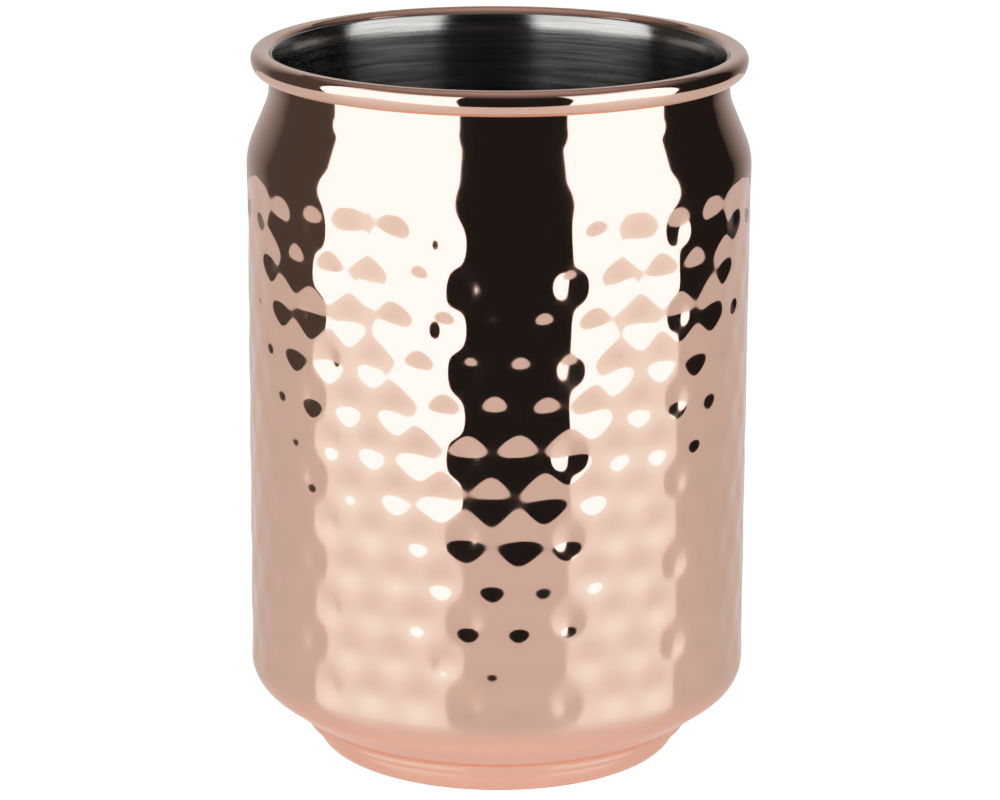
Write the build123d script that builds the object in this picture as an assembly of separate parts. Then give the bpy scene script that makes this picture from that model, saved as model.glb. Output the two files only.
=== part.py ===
from build123d import *
from math import asin, degrees
import os

# Hammered can-shaped drinking cup with a double wall, in millimetres.
#
# The cup stands on z = 0 with its axis on Z.  Five pressed sheet-metal pieces make it:
# a hammered outer shell, a plain inner cup, a rolled bead that clips over both walls at the
# mouth, a foot ring under the shell and a base plate inside the foot ring.
# Every piece is a ring or a dish, so each one is a section in the XZ plane (radius along X)
# turned once round Z.

# Walls
SHELL_SHEET = 0.7
CUP_SHEET = 0.4
BODY_RADIUS = 42.7  # outside of the straight part of the shell
NECK_RADIUS = 38.85  # outside of the shell's neck
BORE_RADIUS = 37.5  # inside of the straight part of the inner cup
HEIGHT = 122.2  # floor to the top of the bead

# Inner cup: its mouth flares out and ends in a flange under the bead
CUP_FLOOR_Z = 9.6
CUP_BEND = 9.0
FLARE_Z = 119.4
FLARE = 0.404  # radius gained for each millimetre of height
FLARE_BEND = 8.0
FLANGE_RADIUS = 40.1
FLANGE_BEND = 0.45

# Rolled bead: an egg-shaped tube, left open on its inner side
BEAD_SHEET = 0.45
BEAD_RADIUS = 40.15  # axis of the cup to the middle of the tube
BEAD_REACH_OUT = 1.7  # from the tube's middle to its outside
BEAD_REACH_IN = 1.9
BEAD_REACH_UP = 1.7
BEAD_REACH_DOWN = 2.5
BEAD_Z = HEIGHT - BEAD_REACH_UP
FLANGE_Z = 121.3  # top face of the inner cup's flange, where the bead's upper lip rests
BEAD_LOWER_LIP = -137.5  # degrees round the tube, where the bead closes on the neck

# Shell shoulder and bottom
SHELL_TOP_Z = 119.5
SHOULDER_TOP_Z = 114.0
SHOULDER_LOW_Z = 104.8
NECK_BEND = 8.0
SHOULDER_BEND = 13.0
BOTTOM_Z = 12.9  # where the straight wall would meet the bottom cone
BOTTOM_BEND = 6.5
BOTTOM_SLOPE = 1.33  # radius lost for each millimetre of height
HEEL_RADIUS = 33.35  # short upright step under the cone
HEEL_Z = 4.2
HEEL_BEND = 1.0
HEEL_ROOT_BEND = 1.3
COLLAR_RADIUS = 30.5  # the shell's lower end, which sits inside the foot ring
COLLAR_TOP_Z = 3.8
COLLAR_END_Z = 2.7
COLLAR_BEND = 0.5

# Hammered dents, in staggered rows
DENTS_ROUND = 32
DENT_ROWS = 12
DENT_LOWEST_Z = 20.0
DENT_ROW_STEP = 7.03
DENT_DEPTH = 0.3
DENT_BALL = 24.0  # radius of the hammer's face
DENT_FIRST_ANGLE = -85.3  # degrees from +X, of a dent in the lowest row
DENT_CLEAR = 0.05  # how far each dent's cutter stands out of the wall

# Foot ring: a channel with a rounded outside, open at the top
FOOT_RADIUS = 31.6
FOOT_ROUND = 4.0
FOOT_SHEET = 0.8
FOOT_TOP_Z = 3.8
FOOT_EDGE = 0.15
FOOT_LEG_RADIUS = 25.6  # inside of the channel's inner leg
FOOT_LEG_TOP_Z = 3.2
FOOT_LEG_BEND = 0.9

# Base plate
PLATE_SHEET = 0.6
PLATE_Z = 4.0
PLATE_FLANGE_END_Z = 1.0
PLATE_BEND = 1.4
PLATE_STEP_RADIUS = 18.0
PLATE_STEP = 0.8


def sheet(points, bends, thickness, side):
    """A strip of sheet along a bent path, as a face in the XZ plane."""
    path = FilletPolyline(*points, radius=bends)
    return Plane.XZ * make_face(offset(path, thickness, side=side, closed=True))


def turned(section):
    """The solid that a section makes when it turns once round the cup's axis."""
    return revolve(section, axis=Axis.Z)


def inner_cup():
    """Straight cup with a flat floor, a flared mouth and a narrow flange."""
    points = [
        (0, CUP_FLOOR_Z),
        (BORE_RADIUS, CUP_FLOOR_Z),
        (BORE_RADIUS, FLARE_Z),
        (BORE_RADIUS + FLARE * (FLANGE_Z - FLARE_Z), FLANGE_Z),
        (FLANGE_RADIUS, FLANGE_Z),
    ]
    return turned(sheet(points, [CUP_BEND, FLARE_BEND, FLANGE_BEND], CUP_SHEET, Side.RIGHT))


def dent():
    """Cutter for one dent: a shallow cap of the hammer's ball, with its flat face outward."""
    flat = DENT_BALL - DENT_DEPTH - DENT_CLEAR
    ball = Pos(DENT_BALL, 0, 0) * Sphere(DENT_BALL)
    width = 2 * DENT_BALL
    return ball - Pos(DENT_BALL - flat, 0, 0) * Box(
        width, width, width, align=(Align.MIN, Align.CENTER, Align.CENTER)
    )


def dents():
    """Every dent's cutter, in rows that are staggered by half a pitch."""
    cutter = dent()
    pitch = 360 / DENTS_ROUND
    deepest = BODY_RADIUS - DENT_DEPTH
    cutters = []
    for row in range(DENT_ROWS):
        z = DENT_LOWEST_Z + row * DENT_ROW_STEP
        first = DENT_FIRST_ANGLE + (row % 2) * pitch / 2
        for n in range(DENTS_ROUND):
            cutters.append(Rot(0, 0, first + n * pitch) * Pos(deepest, 0, z) * cutter)
    return cutters


def outer_shell():
    """Neck, shoulder, straight hammered body, rounded bottom, heel and collar."""
    heel_top_z = BOTTOM_Z - (BODY_RADIUS - HEEL_RADIUS) / BOTTOM_SLOPE
    points = [
        (COLLAR_RADIUS, COLLAR_END_Z),
        (COLLAR_RADIUS, COLLAR_TOP_Z),
        (HEEL_RADIUS, HEEL_Z),
        (HEEL_RADIUS, heel_top_z),
        (BODY_RADIUS, BOTTOM_Z),
        (BODY_RADIUS, SHOULDER_LOW_Z),
        (NECK_RADIUS, SHOULDER_TOP_Z),
        (NECK_RADIUS, SHELL_TOP_Z),
    ]
    bends = [COLLAR_BEND, HEEL_ROOT_BEND, HEEL_BEND, BOTTOM_BEND, SHOULDER_BEND, NECK_BEND]
    shell = turned(sheet(points, bends, SHELL_SHEET, Side.LEFT))
    return shell - dents()


def bead_outline(inset):
    """The rolled sheet's outside, or its inside for an inset of one thickness, lip to lip."""
    centre = (BEAD_RADIUS, BEAD_Z)
    out = BEAD_REACH_OUT - inset
    up = BEAD_REACH_UP - inset
    below = EllipticalCenterArc(
        centre, out, BEAD_REACH_DOWN - inset, BEAD_LOWER_LIP, arc_size=-BEAD_LOWER_LIP
    )
    above = CenterArc(centre, up, 0, 90)
    inner = BEAD_REACH_IN - inset
    lip = 180 - degrees(asin((FLANGE_Z - BEAD_Z) / up))
    inward = EllipticalCenterArc(centre, inner, up, 90, arc_size=lip - 90)
    return [below, above, inward]


def rim_bead():
    """Sheet rolled from its lip on the inner cup's flange, over the top and under again."""
    outside = bead_outline(0)
    inside = bead_outline(BEAD_SHEET)
    upper_lip = Line(outside[2] @ 1, inside[2] @ 1)
    lower_lip = Line(outside[0] @ 0, inside[0] @ 0)
    section = make_face([*outside, *inside, upper_lip, lower_lip])
    return turned(Plane.XZ * section)


def foot_ring():
    """Channel: a rounded outer wall, a narrow land on the floor and an inner leg."""
    round_x = FOOT_RADIUS - FOOT_ROUND
    leg_x = FOOT_LEG_RADIUS + FOOT_LEG_BEND
    leg = Line((FOOT_LEG_RADIUS, FOOT_LEG_TOP_Z), (FOOT_LEG_RADIUS, FOOT_LEG_BEND))
    leg_round = CenterArc((leg_x, FOOT_LEG_BEND), FOOT_LEG_BEND, 180, 90)
    land = Line((leg_x, 0), (round_x, 0))
    wall = CenterArc((round_x, FOOT_ROUND), FOOT_ROUND, 270, 90)
    path = Wire([leg, leg_round, land, wall])
    channel = make_face(offset(path, FOOT_SHEET, side=Side.LEFT, closed=True))
    channel = channel - Pos(FOOT_RADIUS, FOOT_TOP_Z) * Rectangle(
        FOOT_ROUND, FOOT_ROUND, align=(Align.CENTER, Align.MIN)
    )
    corner = channel.vertices().filter_by_position(Axis.Y, FOOT_TOP_Z - 0.01, FOOT_TOP_Z + 0.01)
    channel = fillet(corner, FOOT_EDGE)
    return turned(Plane.XZ * channel)


def base_plate():
    """Dish that closes the foot ring, with a pressed step round its middle."""
    points = [
        (FOOT_LEG_RADIUS, PLATE_FLANGE_END_Z),
        (FOOT_LEG_RADIUS, PLATE_Z),
        (PLATE_STEP_RADIUS + PLATE_STEP, PLATE_Z),
        (PLATE_STEP_RADIUS, PLATE_Z + PLATE_STEP),
        (0, PLATE_Z + PLATE_STEP),
    ]
    bends = [PLATE_BEND, PLATE_STEP, PLATE_STEP]
    return turned(sheet(points, bends, PLATE_SHEET, Side.LEFT))


def main():
    os.makedirs("parts", exist_ok=True)
    pieces = {
        "outer_shell": outer_shell(),
        "inner_cup": inner_cup(),
        "rim_bead": rim_bead(),
        "foot_ring": foot_ring(),
        "base_plate": base_plate(),
    }
    for name, piece in pieces.items():
        export_step(piece, f"parts/{name}.step")


main()
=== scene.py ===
"""Looks of the hammered drinking cup, in metres, in the frame of the CAD model."""

from math import asin, ceil, cos, degrees, pi, radians, sin, tan

import bmesh
import bpy
import numpy as np
from mathutils import Matrix, Vector


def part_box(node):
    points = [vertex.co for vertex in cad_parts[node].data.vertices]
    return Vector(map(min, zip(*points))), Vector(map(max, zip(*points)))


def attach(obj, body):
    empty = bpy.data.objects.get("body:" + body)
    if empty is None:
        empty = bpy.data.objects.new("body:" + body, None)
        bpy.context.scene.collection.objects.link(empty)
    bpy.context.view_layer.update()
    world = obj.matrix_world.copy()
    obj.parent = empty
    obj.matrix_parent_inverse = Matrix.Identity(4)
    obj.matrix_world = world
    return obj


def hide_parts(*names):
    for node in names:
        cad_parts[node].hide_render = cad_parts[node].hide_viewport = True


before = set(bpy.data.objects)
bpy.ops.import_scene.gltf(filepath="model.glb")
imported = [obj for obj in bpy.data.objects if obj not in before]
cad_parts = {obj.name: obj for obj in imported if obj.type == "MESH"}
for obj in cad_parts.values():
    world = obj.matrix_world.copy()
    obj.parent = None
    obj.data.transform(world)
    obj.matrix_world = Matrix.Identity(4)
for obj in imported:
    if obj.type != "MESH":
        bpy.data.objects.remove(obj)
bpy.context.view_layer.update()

MM = 0.001
BODY = "root"

# Shape of the cup, in millimetres, from the CAD nodes
SHELL_LOW, SHELL_HIGH = (Vector(c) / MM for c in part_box("outer_shell"))
LINER_LOW, LINER_HIGH = (Vector(c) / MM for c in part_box("inner_cup"))
BEAD_HIGH = Vector(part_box("rim_bead")[1]) / MM
PLATE_LOW, PLATE_HIGH = (Vector(c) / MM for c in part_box("base_plate"))

# Walls
BODY_RADIUS = SHELL_HIGH.x
NECK_RADIUS = 38.85
BORE_RADIUS = 37.5
SHELL_SHEET = 0.7
LINER_SHEET = 0.4
BEAD_SHEET = 0.45
FOOT_SHEET = 0.8
BASE_SHEET = 0.6

# Shell's shoulder, bottom cone, heel and collar
SHOULDER_TOP_Z = 114.0
SHOULDER_LOW_Z = 104.8
BOTTOM_Z = 12.9
BOTTOM_SLOPE = 1.33  # radius lost for each millimetre of height
HEEL_RADIUS = 33.35
HEEL_Z = 4.2
COLLAR_RADIUS = 30.5
COLLAR_TOP_Z = 3.8
SHELL_BENDS = [0.5, 1.3, 1.0, 6.5, 13.0, 8.0]  # from the collar to the neck

# Liner's flared mouth
FLARE_Z = 119.4
FLARE = 0.404  # radius gained for each millimetre of height
LINER_BENDS = [9.0, 8.0, 0.45]  # from the floor to the flange

# Rolled bead, from the middle of its tube
BEAD_RADIUS = 40.15
BEAD_OUT, BEAD_IN, BEAD_UP, BEAD_DOWN = 1.7, 1.9, 1.7, 2.5
BEAD_LOWER_LIP = -137.5  # degrees round the tube

# Foot ring and base plate
FOOT_LEG_RADIUS = 25.6
FOOT_LEG_TOP_Z = 3.2
FOOT_LEG_BEND = 0.9
FOOT_LAND_RADIUS = 27.6
FOOT_ROUND = 4.0
FOOT_WALL_TURN = 87.1  # degrees that the rounded wall turns, from the land up
BASE_TOP_Z = 4.0
BASE_STEP_RADIUS = 18.0
BASE_STEP = 0.8
BASE_BENDS = [1.4, 0.8, 0.8]  # from the rim inwards

# Hammered dents
DENTS_ROUND = 32
DENT_ROWS = 12
DENT_LOWEST_Z = 20.0
DENT_ROW_STEP = 7.03
DENT_FIRST_ANGLE = -85.3  # degrees from +X
DENT_DEPTH = 0.38
DENT_SPREAD = 2.2
DENT_UNEVEN = 0.12  # how much the depths differ
DENT_STRAY = 0.22  # how far the dents stray from their rows
DENT_SEED = 7

# Camera, in metres and degrees
CAMERA_AT = (0, -0.6889, 0.2459)
CAMERA_DOWN = 15.05
CAMERA_ROLL = 0.0049  # radians
CAMERA_LENS = 149.54
CAMERA_SHIFT = 0.00203


def rounded(points, bends, step=4.0):
    """Points along a path whose inner corners are arcs of the given radii, in order."""
    path = [Vector(points[0])]
    for before, corner, after, bend in zip(points, points[1:], points[2:], bends):
        corner = Vector(corner)
        back = (Vector(before) - corner).normalized()
        on = (Vector(after) - corner).normalized()
        half = back.angle(on) / 2
        centre = corner + (back + on).normalized() * bend / sin(half)
        start = corner + back * bend / tan(half) - centre
        end = corner + on * bend / tan(half) - centre
        turn = start.angle_signed(end)
        count = max(2, ceil(abs(degrees(turn)) / step))
        for i in range(count + 1):
            spin = Matrix.Rotation(-turn * i / count, 2)
            path.append(centre + spin @ start)
    path.append(Vector(points[-1]))
    return path


def spaced(path, step):
    """The same path with points no further apart than step."""
    out = [path[0]]
    for a, b in zip(path, path[1:]):
        count = max(1, ceil((b - a).length / step))
        out.extend(a.lerp(b, i / count) for i in range(1, count + 1))
    return out


def shifted(path, distance):
    """The path moved sideways, to the left of its direction."""
    out = []
    for i, p in enumerate(path):
        a = path[max(i - 1, 0)]
        b = path[min(i + 1, len(path) - 1)]
        along = (b - a).normalized()
        out.append(p + Vector((-along.y, along.x)) * distance)
    return out


def turned(name, profile, segments, closed, node, dent=None):
    """A piece turned round Z from (radius, height) points, in millimetres.

    A closed profile makes a ring. An open one starts and ends on the axis.
    """
    radius = np.array([max(p.x, 0.0) for p in profile])
    height = np.array([p.y for p in profile])
    angle = np.arange(segments) * 2 * pi / segments
    r = np.repeat(radius[:, None], segments, axis=1)
    z = np.repeat(height[:, None], segments, axis=1)
    if dent is not None:
        r = r - dent(angle[None, :], z)
    rings = len(profile)
    verts = np.stack([r * np.cos(angle), r * np.sin(angle), z], axis=-1).reshape(-1, 3) * MM
    faces = []
    span = rings if closed else rings - 1
    for i in range(span):
        a, b = i * segments, ((i + 1) % rings) * segments
        for j in range(segments):
            k = (j + 1) % segments
            faces.append((a + j, a + k, b + k, b + j))
    mesh = bpy.data.meshes.new(name)
    mesh.from_pydata(verts.tolist(), [], faces)
    work = bmesh.new()
    work.from_mesh(mesh)
    bmesh.ops.remove_doubles(work, verts=work.verts, dist=1e-7)
    bmesh.ops.recalc_face_normals(work, faces=work.faces)
    work.to_mesh(mesh)
    work.free()
    mesh.shade_smooth()
    mesh.set_sharp_from_angle(angle=radians(50))
    piece = bpy.data.objects.new(name, mesh)
    bpy.context.collection.objects.link(piece)
    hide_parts(node)
    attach(piece, BODY)
    return piece


def dent_depth(angle, z):
    """How far the hammered wall lies inside its smooth radius, for arrays of places."""
    rng = np.random.default_rng(DENT_SEED)
    pitch = 2 * pi / DENTS_ROUND
    depth = np.zeros(np.broadcast(angle, z).shape)
    for row in range(DENT_ROWS):
        first = radians(DENT_FIRST_ANGLE) + (row % 2) * pitch / 2
        for n in range(DENTS_ROUND):
            aside, up, deeper = np.clip(rng.normal(size=3), -2, 2)
            a = first + n * pitch + DENT_STRAY * aside / BODY_RADIUS
            h = DENT_LOWEST_Z + row * DENT_ROW_STEP + DENT_STRAY * up
            near = np.abs(z[:, 0] - h) < 4 * DENT_SPREAD
            across = (angle - a + pi) % (2 * pi) - pi
            square = (BODY_RADIUS * across) ** 2 + (z[near] - h) ** 2
            bowl = np.exp(-square / (2 * DENT_SPREAD**2))
            depth[near] += DENT_DEPTH * (1 + DENT_UNEVEN * deeper) * bowl
    return depth


def make_shell():
    heel_top_z = BOTTOM_Z - (BODY_RADIUS - HEEL_RADIUS) / BOTTOM_SLOPE
    points = [
        (COLLAR_RADIUS, SHELL_LOW.z),
        (COLLAR_RADIUS, COLLAR_TOP_Z),
        (HEEL_RADIUS, HEEL_Z),
        (HEEL_RADIUS, heel_top_z),
        (BODY_RADIUS, BOTTOM_Z),
        (BODY_RADIUS, SHOULDER_LOW_Z),
        (NECK_RADIUS, SHOULDER_TOP_Z),
        (NECK_RADIUS, SHELL_HIGH.z),
    ]
    path = rounded(points, SHELL_BENDS)
    outside = spaced(path, 0.5)
    inside = spaced(shifted(path, SHELL_SHEET)[::-1], 6.0)

    def dent(angle, z):
        depth = dent_depth(angle, z)
        depth[len(outside) :] = 0.0
        return depth

    return turned("shell", outside + inside, 512, True, "outer_shell", dent)


def bead_outline(inset):
    """The egg-shaped tube, from its lower lip round to the lip on the liner's flange."""
    centre = Vector((BEAD_RADIUS, BEAD_HIGH.z - BEAD_UP))
    out, inward = BEAD_OUT - inset, BEAD_IN - inset
    up, down = BEAD_UP - inset, BEAD_DOWN - inset
    upper_lip = 180 - degrees(asin((LINER_HIGH.z - centre.y) / up))
    steps = 72
    path = []
    for i in range(steps + 1):
        a = radians(BEAD_LOWER_LIP + (upper_lip - BEAD_LOWER_LIP) * i / steps)
        wide = out if cos(a) > 0 or sin(a) < 0 else inward
        tall = up if sin(a) > 0 else down
        path.append(centre + Vector((wide * cos(a), tall * sin(a))))
    return path


def make_bead():
    profile = spaced(bead_outline(0), 0.3) + bead_outline(BEAD_SHEET)[::-1]
    return turned("bead", profile, 384, True, "rim_bead")


def make_foot():
    points = [(FOOT_LEG_RADIUS, FOOT_LEG_TOP_Z), (FOOT_LEG_RADIUS, 0), (FOOT_LAND_RADIUS, 0)]
    outside = rounded(points, [FOOT_LEG_BEND])
    centre = Vector((FOOT_LAND_RADIUS, FOOT_ROUND))
    steps = 25
    for i in range(1, steps + 1):
        a = radians(-90 + FOOT_WALL_TURN * i / steps)
        outside.append(centre + FOOT_ROUND * Vector((cos(a), sin(a))))
    inside = shifted(outside, FOOT_SHEET)[::-1]
    return turned("foot", outside + inside, 320, True, "foot_ring")


def make_liner():
    floor_z = LINER_LOW.z + LINER_SHEET
    flange_z = LINER_HIGH.z
    points = [
        (0, floor_z),
        (BORE_RADIUS, floor_z),
        (BORE_RADIUS, FLARE_Z),
        (BORE_RADIUS + FLARE * (flange_z - FLARE_Z), flange_z),
        (LINER_HIGH.x, flange_z),
    ]
    inside = rounded(points, LINER_BENDS, 2.0)
    outside = shifted(inside, -LINER_SHEET)[::-1]
    profile = spaced(inside, 3.0) + spaced(outside, 8.0)
    return turned("liner", profile, 320, False, "inner_cup")


def make_base():
    points = [
        (PLATE_HIGH.x, PLATE_LOW.z),
        (PLATE_HIGH.x, BASE_TOP_Z),
        (BASE_STEP_RADIUS + BASE_STEP, BASE_TOP_Z),
        (BASE_STEP_RADIUS, BASE_TOP_Z + BASE_STEP),
        (0, BASE_TOP_Z + BASE_STEP),
    ]
    above = rounded(points, BASE_BENDS)
    below = shifted(above, BASE_SHEET)
    return turned("base", below[::-1] + above, 256, False, "base_plate")


# Materials


def nodes_of(name):
    material = bpy.data.materials.new(name)
    material.use_nodes = True
    return material, material.node_tree, material.node_tree.nodes["Principled BSDF"]


def add(tree, kind, **settings):
    node = tree.nodes.new(kind)
    for key, value in settings.items():
        if key in node.inputs:
            node.inputs[key].default_value = value
        else:
            setattr(node, key, value)
    return node


def copper():
    """Polished copper plating: thin haze, faint polishing marks and a slow drift of tone."""
    material, tree, shader = nodes_of("copper_plate")
    link = tree.links.new
    shader.inputs["Metallic"].default_value = 1.0
    where = add(tree, "ShaderNodeTexCoord")
    drift = add(tree, "ShaderNodeTexNoise", Scale=28.0, Detail=2.0)
    link(where.outputs["Object"], drift.inputs["Vector"])
    tone = add(tree, "ShaderNodeMix", data_type="RGBA")
    tone.inputs["A"].default_value = (0.905, 0.575, 0.450, 1)
    tone.inputs["B"].default_value = (0.925, 0.605, 0.480, 1)
    link(drift.outputs["Fac"], tone.inputs["Factor"])
    link(tone.outputs["Result"], shader.inputs["Base Color"])
    haze = add(tree, "ShaderNodeTexNoise", Scale=160.0, Detail=4.0)
    link(where.outputs["Object"], haze.inputs["Vector"])
    rough = add(tree, "ShaderNodeMapRange")
    rough.inputs["To Min"].default_value = 0.03
    rough.inputs["To Max"].default_value = 0.07
    link(haze.outputs["Fac"], rough.inputs["Value"])
    link(rough.outputs["Result"], shader.inputs["Roughness"])
    return material


def steel():
    """Stainless steel brushed round the axis: short streaks in tone, gloss and relief."""
    material, tree, shader = nodes_of("brushed_steel")
    link = tree.links.new
    shader.inputs["Metallic"].default_value = 1.0
    shader.inputs["Anisotropic"].default_value = 0.85
    shader.inputs["Anisotropic Rotation"].default_value = 0.25
    where = add(tree, "ShaderNodeTexCoord")
    split = add(tree, "ShaderNodeSeparateXYZ")
    link(where.outputs["Object"], split.inputs["Vector"])
    flat = add(tree, "ShaderNodeVectorMath", operation="MULTIPLY")
    flat.inputs[1].default_value = (1, 1, 0)
    link(where.outputs["Object"], flat.inputs[0])
    out = add(tree, "ShaderNodeVectorMath", operation="LENGTH")
    link(flat.outputs["Vector"], out.inputs[0])
    ring = add(tree, "ShaderNodeCombineXYZ")
    turn = add(tree, "ShaderNodeMath", operation="ARCTAN2")
    link(split.outputs["Y"], turn.inputs[0])
    link(split.outputs["X"], turn.inputs[1])
    slow = add(tree, "ShaderNodeMath", operation="MULTIPLY")
    slow.inputs[1].default_value = 0.0012  # stretches the streaks round the axis
    link(turn.outputs[0], slow.inputs[0])
    link(slow.outputs[0], ring.inputs["X"])
    link(out.outputs["Value"], ring.inputs["Y"])
    link(split.outputs["Z"], ring.inputs["Z"])
    lines = add(tree, "ShaderNodeTexNoise", Scale=1500.0, Detail=5.0, Roughness=0.65)
    link(ring.outputs["Vector"], lines.inputs["Vector"])
    tone = add(tree, "ShaderNodeMix", data_type="RGBA")
    tone.inputs["A"].default_value = (0.04, 0.038, 0.036, 1)
    tone.inputs["B"].default_value = (0.62, 0.61, 0.59, 1)
    link(lines.outputs["Fac"], tone.inputs["Factor"])
    link(tone.outputs["Result"], shader.inputs["Base Color"])
    rough = add(tree, "ShaderNodeMapRange")
    rough.inputs["To Min"].default_value = 0.16
    rough.inputs["To Max"].default_value = 0.23
    link(lines.outputs["Fac"], rough.inputs["Value"])
    link(rough.outputs["Result"], shader.inputs["Roughness"])
    bump = add(tree, "ShaderNodeBump", Strength=0.5, Distance=0.00006)
    link(lines.outputs["Fac"], bump.inputs["Height"])
    link(bump.outputs["Normal"], shader.inputs["Normal"])
    along = add(tree, "ShaderNodeTangent", direction_type="RADIAL", axis="Z")
    link(along.outputs["Tangent"], shader.inputs["Tangent"])
    return material


# Studio


def glow(name, colour, clear=False):
    """Light whose strength is the mesh's own "level" attribute, see-through if clear."""
    material = bpy.data.materials.new(name)
    material.use_nodes = True
    tree = material.node_tree
    tree.nodes.clear()
    light = add(tree, "ShaderNodeEmission", Color=(*colour, 1))
    level = add(tree, "ShaderNodeAttribute", attribute_name="level")
    tree.links.new(level.outputs["Fac"], light.inputs["Strength"])
    out = tree.nodes.new("ShaderNodeOutputMaterial")
    surface = light.outputs[0]
    if clear:
        both = tree.nodes.new("ShaderNodeAddShader")
        tree.links.new(surface, both.inputs[0])
        tree.links.new(tree.nodes.new("ShaderNodeBsdfTransparent").outputs[0], both.inputs[1])
        surface = both.outputs[0]
    tree.links.new(surface, out.inputs["Surface"])
    return material


def plain(name, colour, roughness, specular, shine):
    """Table or floor of one colour, with a little light of its own."""
    material, _, shader = nodes_of(name)
    shader.inputs["Base Color"].default_value = (*colour, 1)
    shader.inputs["Emission Color"].default_value = (*colour, 1)
    shader.inputs["Emission Strength"].default_value = shine
    shader.inputs["Roughness"].default_value = roughness
    shader.inputs["Specular IOR Level"].default_value = specular
    return material


def stage(name, verts, faces, material, seen=False, levels=None):
    """Part of the studio, hidden from the camera unless seen."""
    mesh = bpy.data.meshes.new(name)
    mesh.from_pydata(verts, [], faces)
    mesh.materials.append(material)
    if levels is not None:
        mesh.attributes.new("level", "FLOAT", "POINT").data.foreach_set("value", levels)
    thing = bpy.data.objects.new(name, mesh)
    bpy.context.collection.objects.link(thing)
    thing.visible_camera = seen
    return thing


def screen(name, start, end, rows, colour=(1, 1, 1), distance=1.1):
    """Part of a tall drum of light round the cup. Angles are from -Y, towards +X.

    Rows are (height, level at the start, level at the end).
    """
    count = max(2, ceil(abs(end - start) / 4))
    verts, levels, faces = [], [], []
    for i in range(count + 1):
        a = radians(start + (end - start) * i / count)
        for height, first, last in rows:
            verts.append((distance * sin(a), -distance * cos(a), height))
            levels.append(first + (last - first) * i / count)
    tall = len(rows)
    for i in range(count):
        for j in range(tall - 1):
            k = i * tall + j
            faces.append((k, k + tall, k + tall + 1, k + 1))
    return stage(name, verts, faces, glow(name, colour), levels=levels)


def disc(name, centre, z, rings, colour, clear=False):
    """Round sheet of light. Rings are (radius, level), outwards from the middle."""
    verts, levels, faces = [(centre[0], centre[1], z)], [rings[0][1]], []
    turns = 48
    for n, (radius, level) in enumerate(rings[1:]):
        for i in range(turns):
            a = 2 * pi * i / turns
            verts.append((centre[0] + radius * cos(a), centre[1] + radius * sin(a), z))
            levels.append(level)
            here, after = n * turns + i + 1, n * turns + (i + 1) % turns + 1
            if n == 0:
                faces.append((0, here, after))
            else:
                faces.append((here - turns, here, after, after - turns))
    return stage(name, verts, faces, glow(name, colour, clear), levels=levels)


def rectangle(name, x0, x1, y0, y1, z, material, seen=False):
    verts = [(x0, y0, z), (x1, y0, z), (x1, y1, z), (x0, y1, z)]
    return stage(name, verts, [(0, 1, 2, 3)], material, seen)


def make_screens():
    """Two tall soft lights with a dark gap between them, a dim flag and a dim back wall."""
    low, top = -0.9, 0.95
    white = [(low, 2.6, 2.6), (0.88, 2.6, 2.6), (1.05, 1.0, 1.0), (1.4, 0.6, 0.6)]
    screen("softbox_left", -87, -19, white)
    screen("softbox_right", 33, 87, white)
    screen("flag_left", -125, -87, [(low, 0.06, 0.06), (top, 0.06, 0.06)], (1, 0.9, 0.8))
    pale = (1, 0.95, 0.92)
    screen("wing_left", -165, -125, [(low, 0.5, 0.06), (top, 0.5, 0.06)], pale)
    screen("wing_right", 130, 165, [(low, 0.03, 0.5), (top, 0.03, 0.5)], pale)
    screen("backdrop", 165, 195, [(low, 0.5, 0.5), (top, 0.5, 0.5)])


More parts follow.
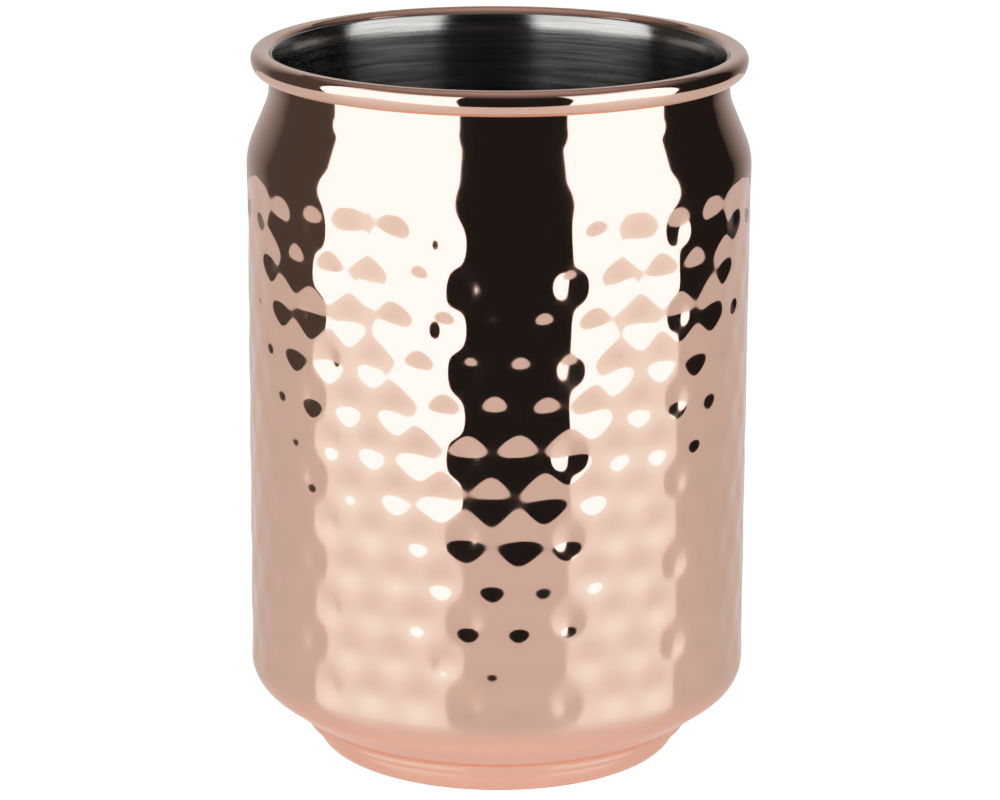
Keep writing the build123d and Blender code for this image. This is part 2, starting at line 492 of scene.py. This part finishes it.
def make_table():
    """Pale table that only reflections show, and a white floor that only the camera sees."""
    cloth = plain("table", (0.62, 0.565, 0.54), 0.3, 0.5, 0.43)
    table = rectangle("table", -0.385, 0.385, -0.2427, 0.45, -0.0067, cloth)
    # Painted copper glow round the foot, standing in for the light that the cup throws back
    # on the table
    painted_bounce_rings = [(0, 0.12), (0.034, 0.12), (0.045, 0.08), (0.06, 0.035), (0.08, 0)]
    painted_bounce = disc("painted_bounce", (0, 0), -0.0004, painted_bounce_rings, (1, 0.22, 0.08), True)
    paper = plain("floor", (0.9, 0.9, 0.9), 1.0, 0.0, 1.67)
    floor = rectangle("floor", -6, 6, -6, 6, -0.0002, paper, True)
    floor.visible_glossy = False
    floor.visible_diffuse = False
    for thing in (table, painted_bounce, floor):
        thing.visible_shadow = False


def make_overhead():
    """Ceiling that dims outwards, and a large soft lamp over the table."""
    rings = [(0, 0.40), (0.7, 0.24), (1.4, 0.07), (2.2, 0.02)]
    ceiling = disc("ceiling", (0, 0.35), 1.4, rings, (1, 0.84, 0.80))
    ceiling.visible_shadow = False
    lamp = bpy.data.lights.new("overhead", "AREA")
    lamp.shape = "DISK"
    lamp.size = 1.6
    lamp.energy = 12
    overhead = bpy.data.objects.new("overhead", lamp)
    overhead.location = (0, -0.1, 1.7)
    overhead.visible_glossy = False
    bpy.context.collection.objects.link(overhead)


def make_view():
    """Near-black surroundings, and a curve that rolls the highlights off."""
    world = bpy.data.worlds.new("studio")
    world.use_nodes = True
    air = world.node_tree.nodes["Background"]
    air.inputs["Color"].default_value = (1, 1, 1, 1)
    air.inputs["Strength"].default_value = 0.012
    bpy.context.scene.world = world
    look = bpy.context.scene.view_settings
    look.view_transform = "Standard"
    look.use_curve_mapping = True
    look.curve_mapping.white_level = (2, 2, 2)
    shoulder = look.curve_mapping.curves[3]
    shoulder.points[0].location = (0, 0)
    shoulder.points[1].location = (1, 1)
    for point in ((0.25, 0.5), (0.5, 0.82), (0.75, 0.95)):
        shoulder.points.new(*point)
    look.curve_mapping.update()


def make_camera():
    data = bpy.data.cameras.new("camera")
    data.sensor_width = 36.0
    data.lens = CAMERA_LENS
    data.shift_x = CAMERA_SHIFT
    camera = bpy.data.objects.new("camera", data)
    tilt = Matrix.Rotation(radians(90 - CAMERA_DOWN), 4, "X")
    roll = Matrix.Rotation(CAMERA_ROLL, 4, "Z")
    camera.matrix_world = Matrix.Translation(CAMERA_AT) @ tilt @ roll
    bpy.context.collection.objects.link(camera)
    bpy.context.scene.camera = camera


plating = copper()
brushed = steel()
for piece in (make_shell(), make_bead(), make_foot()):
    piece.data.materials.append(plating)
for piece in (make_liner(), make_base()):
    piece.data.materials.append(brushed)
make_screens()
make_table()
make_overhead()
make_view()
make_camera()
